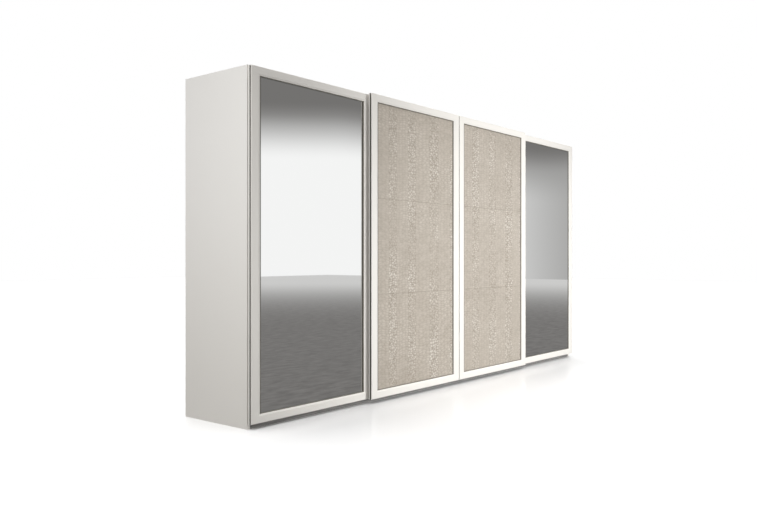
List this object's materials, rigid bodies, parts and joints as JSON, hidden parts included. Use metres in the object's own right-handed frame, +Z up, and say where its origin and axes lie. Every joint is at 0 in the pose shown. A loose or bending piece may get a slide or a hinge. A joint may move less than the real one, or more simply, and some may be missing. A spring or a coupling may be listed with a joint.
{
  "type": "sliding door wardrobe",
  "caption": "Wide wardrobe with sliding doors in two planes, mirror and embossed leather panels, hanging rods and shelves.",
  "frame": {"origin": "on the floor, at the middle of the bounding box's footprint", "axes": "+X along the front to the right, -Y out of the front, +Z up"},
  "size_m": [4.8, 0.744, 2.4],
  "materials": {
    "side_lacquer": "satin greige lacquer on board",
    "interior_board": "matt textile-print melamine board",
    "back_board": "matt melamine board",
    "frame_lacquer": "pearl ivory satin lacquer",
    "mirror_glass": "clear silvered mirror",
    "embossed_leather": "reptile-embossed satin leather, pearl taupe",
    "zinc_steel": "zinc-plated pressed steel",
    "bright_steel": "bright steel",
    "roller_nylon": "moulded nylon",
    "track_aluminium": "satin anodised extrusion",
    "chrome_tube": "polished chrome plate",
    "socket_metal": "satin chrome die-casting",
    "cap_plastic": "moulded plastic cover",
    "base_board": "mid grey matt laminate",
    "black_plastic": "moulded black plastic",
    "stop_rubber": "soft black rubber"
  },
  "bodies": {
    "carcass": {"side_panel_left": "side_lacquer", "side_panel_right": "side_lacquer", "partition_left": "interior_board", "partition_centre": "interior_board", "partition_right": "interior_board", "top_panels": "interior_board", "bottom_panels": "interior_board", "back_panels": "back_board", "upper_shelves": "interior_board", "lower_shelves": "interior_board", "shelf_pins": "bright_steel", "hanging_rods": "chrome_tube", "rod_sockets": "socket_metal", "connector_caps": "cap_plastic", "base_rail": "base_board", "plinth": "base_board", "levelling_feet": "black_plastic", "bottom_track": "track_aluminium", "top_track": "track_aluminium", "track_stops": "stop_rubber", "screws": "bright_steel", "wall_brackets": "bright_steel"},
    "door_1": {"door_1_stiles": "frame_lacquer", "door_1_rails": "frame_lacquer", "door_1_edge_strips": "frame_lacquer", "door_1_mirror": "mirror_glass", "door_1_backing": "back_board", "door_1_hangers": "zinc_steel", "door_1_guides": "zinc_steel"},
    "door_1_roller_left": {"door_1_roller_left": "roller_nylon"},
    "door_1_roller_right": {"door_1_roller_right": "roller_nylon"},
    "door_2": {"door_2_stiles": "frame_lacquer", "door_2_rails": "frame_lacquer", "door_2_edge_strips": "frame_lacquer", "door_2_leather_panel": "embossed_leather", "door_2_backing": "back_board", "door_2_hangers": "zinc_steel", "door_2_guides": "zinc_steel"},
    "door_2_roller_left": {"door_2_roller_left": "roller_nylon"},
    "door_2_roller_right": {"door_2_roller_right": "roller_nylon"},
    "door_3": {"door_3_stiles": "frame_lacquer", "door_3_rails": "frame_lacquer", "door_3_edge_strips": "frame_lacquer", "door_3_leather_panel": "embossed_leather", "door_3_backing": "back_board", "door_3_hangers": "zinc_steel", "door_3_guides": "zinc_steel"},
    "door_3_roller_left": {"door_3_roller_left": "roller_nylon"},
    "door_3_roller_right": {"door_3_roller_right": "roller_nylon"},
    "door_4": {"door_4_stiles": "frame_lacquer", "door_4_rails": "frame_lacquer", "door_4_edge_strips": "frame_lacquer", "door_4_mirror": "mirror_glass", "door_4_backing": "back_board", "door_4_hangers": "zinc_steel", "door_4_guides": "zinc_steel"},
    "door_4_roller_left": {"door_4_roller_left": "roller_nylon"},
    "door_4_roller_right": {"door_4_roller_right": "roller_nylon"}
  },
  "joints": [
    {"name": "door_1_slide", "type": "slide", "parent": "carcass", "child": "door_1", "axis": [1, 0, 0], "range_m": [0, 1.176]},
    {"name": "door_2_slide", "type": "slide", "parent": "carcass", "child": "door_2", "axis": [1, 0, 0], "range_m": [-1.176, 0]},
    {"name": "door_3_slide", "type": "slide", "parent": "carcass", "child": "door_3", "axis": [1, 0, 0], "range_m": [0, 1.176]},
    {"name": "door_4_slide", "type": "slide", "parent": "carcass", "child": "door_4", "axis": [1, 0, 0], "range_m": [-1.176, 0]},
    {"name": "door_1_roller_left_spin", "type": "hinge", "parent": "door_1", "child": "door_1_roller_left", "pos_m": [-2.25, -0.258, 2.3603], "axis": [0, 1, 0], "range_deg": [-10, 3760]},
    {"name": "door_1_roller_right_spin", "type": "hinge", "parent": "door_1", "child": "door_1_roller_right", "pos_m": [-1.33, -0.258, 2.3603], "axis": [0, 1, 0], "range_deg": [-10, 3760]},
    {"name": "door_2_roller_left_spin", "type": "hinge", "parent": "door_2", "child": "door_2_roller_left", "pos_m": [-1.074, -0.226, 2.3603], "axis": [0, 1, 0], "range_deg": [-3760, 10]},
    {"name": "door_2_roller_right_spin", "type": "hinge", "parent": "door_2", "child": "door_2_roller_right", "pos_m": [-0.154, -0.226, 2.3603], "axis": [0, 1, 0], "range_deg": [-3760, 10]},
    {"name": "door_3_roller_left_spin", "type": "hinge", "parent": "door_3", "child": "door_3_roller_left", "pos_m": [0.154, -0.226, 2.3603], "axis": [0, 1, 0], "range_deg": [-10, 3760]},
    {"name": "door_3_roller_right_spin", "type": "hinge", "parent": "door_3", "child": "door_3_roller_right", "pos_m": [1.074, -0.226, 2.3603], "axis": [0, 1, 0], "range_deg": [-10, 3760]},
    {"name": "door_4_roller_left_spin", "type": "hinge", "parent": "door_4", "child": "door_4_roller_left", "pos_m": [1.33, -0.258, 2.3603], "axis": [0, 1, 0], "range_deg": [-3760, 10]},
    {"name": "door_4_roller_right_spin", "type": "hinge", "parent": "door_4", "child": "door_4_roller_right", "pos_m": [2.25, -0.258, 2.3603], "axis": [0, 1, 0], "range_deg": [-3760, 10]}
  ],
  "couplings": [
    {"joint": "door_1_roller_left_spin", "follows": "door_1_slide", "rad_per_m": 55.556},
    {"joint": "door_1_roller_right_spin", "follows": "door_1_slide", "rad_per_m": 55.556},
    {"joint": "door_2_roller_left_spin", "follows": "door_2_slide", "rad_per_m": 55.556},
    {"joint": "door_2_roller_right_spin", "follows": "door_2_slide", "rad_per_m": 55.556},
    {"joint": "door_3_roller_left_spin", "follows": "door_3_slide", "rad_per_m": 55.556},
    {"joint": "door_3_roller_right_spin", "follows": "door_3_slide", "rad_per_m": 55.556},
    {"joint": "door_4_roller_left_spin", "follows": "door_4_slide", "rad_per_m": 55.556},
    {"joint": "door_4_roller_right_spin", "follows": "door_4_slide", "rad_per_m": 55.556}
  ]
}
